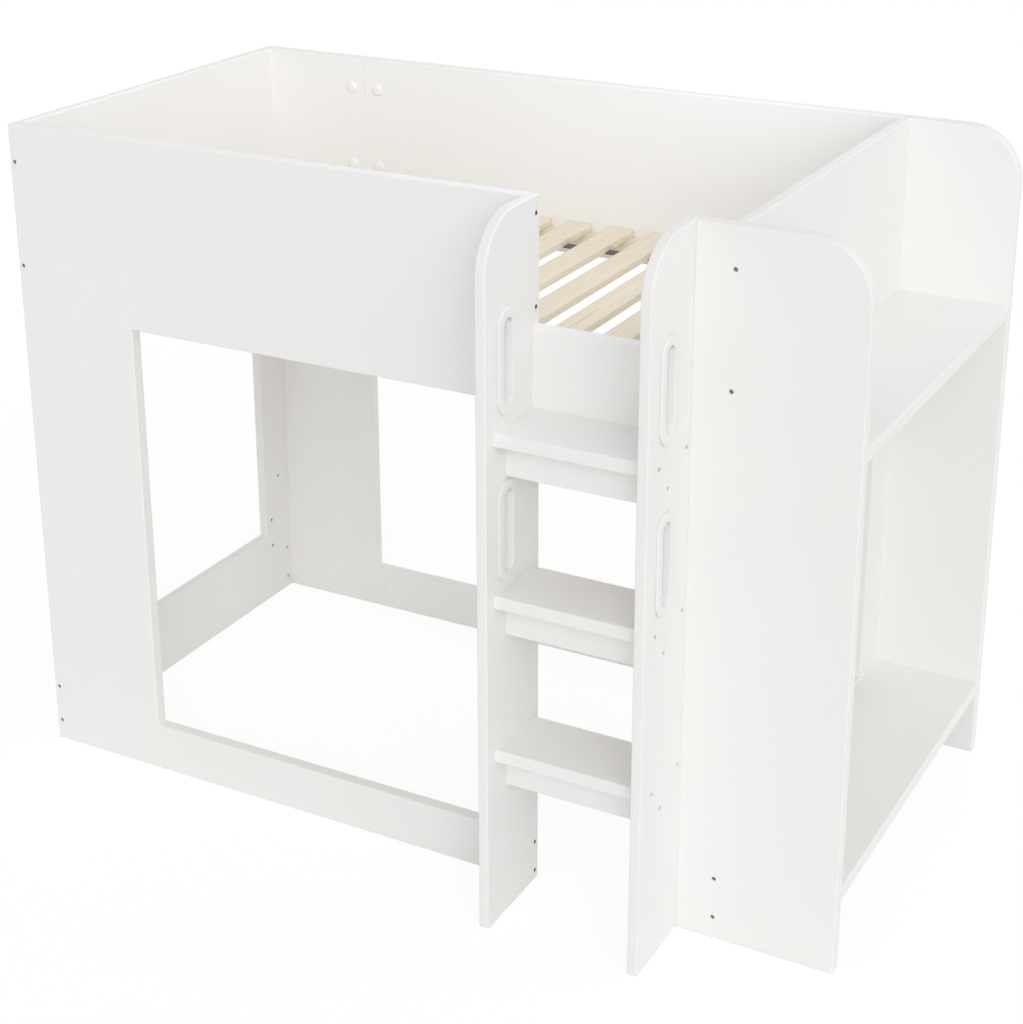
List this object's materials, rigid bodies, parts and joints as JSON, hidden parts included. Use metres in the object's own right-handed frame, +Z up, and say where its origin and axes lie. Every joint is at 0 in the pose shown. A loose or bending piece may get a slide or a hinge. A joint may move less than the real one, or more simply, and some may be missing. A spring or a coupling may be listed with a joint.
{
  "type": "bunk bed",
  "caption": "White panel bunk bed with a front ladder, moulded hand grips, slatted upper berth, open lower berth and an end bookcase.",
  "frame": {"origin": "bottom centre of the whole bed's bounding box, ladder included, on the floor", "axes": "+X along the bed, from the closed left end towards the bookcase end; +Y from the front wall with the ladder to the back wall; +Z up"},
  "size_m": [1.908, 1.151, 1.47],
  "materials": {
    "white_lacquer": "white satin lacquer on wood-based board, eased edges",
    "grip_plastic": "white moulded plastic, soft gloss",
    "pine": "untreated planed pine, pale",
    "webbing": "dark grey woven webbing",
    "cap_plastic": "white moulded plastic cap"
  },
  "bodies": {
    "root": {"front_left_pillar": "white_lacquer", "front_guard": "white_lacquer", "front_lower_rail": "white_lacquer", "front_side_panel": "white_lacquer", "back_left_pillar": "white_lacquer", "back_guard": "white_lacquer", "back_lower_rail": "white_lacquer", "back_side_panel": "white_lacquer", "left_end_panel": "white_lacquer", "left_end_rail": "white_lacquer", "left_end_front_post": "white_lacquer", "left_end_back_post": "white_lacquer", "cross_panel": "white_lacquer", "cross_rail": "white_lacquer", "cross_front_post": "white_lacquer", "cross_back_post": "white_lacquer", "ladder_left_side": "white_lacquer", "ladder_right_side": "white_lacquer", "tread_1": "white_lacquer", "tread_2": "white_lacquer", "tread_3": "white_lacquer", "tread_apron_1": "white_lacquer", "tread_apron_2": "white_lacquer", "tread_apron_3": "white_lacquer", "entrance_rail": "white_lacquer", "upper_shelf": "white_lacquer", "lower_shelf": "white_lacquer", "left_side_lower_grip_outer": "grip_plastic", "left_side_lower_grip_inner": "grip_plastic", "left_side_upper_grip_outer": "grip_plastic", "left_side_upper_grip_inner": "grip_plastic", "right_side_lower_grip_outer": "grip_plastic", "right_side_lower_grip_inner": "grip_plastic", "right_side_upper_grip_outer": "grip_plastic", "right_side_upper_grip_inner": "grip_plastic", "front_batten": "pine", "back_batten": "pine", "slat_01": "pine", "slat_02": "pine", "slat_03": "pine", "slat_04": "pine", "slat_05": "pine", "slat_06": "pine", "slat_07": "pine", "slat_08": "pine", "slat_09": "pine", "slat_10": "pine", "slat_11": "pine", "slat_12": "pine", "slat_13": "pine", "slat_14": "pine", "front_strap": "webbing", "back_strap": "webbing", "cover_cap_rail_left": "cap_plastic", "cover_cap_rail_right": "cap_plastic", "cover_cap_guard_low_left": "cap_plastic", "cover_cap_guard_low_right": "cap_plastic", "cover_cap_guard_high_left": "cap_plastic", "cover_cap_guard_high_right": "cap_plastic"}
  },
  "joints": []
}
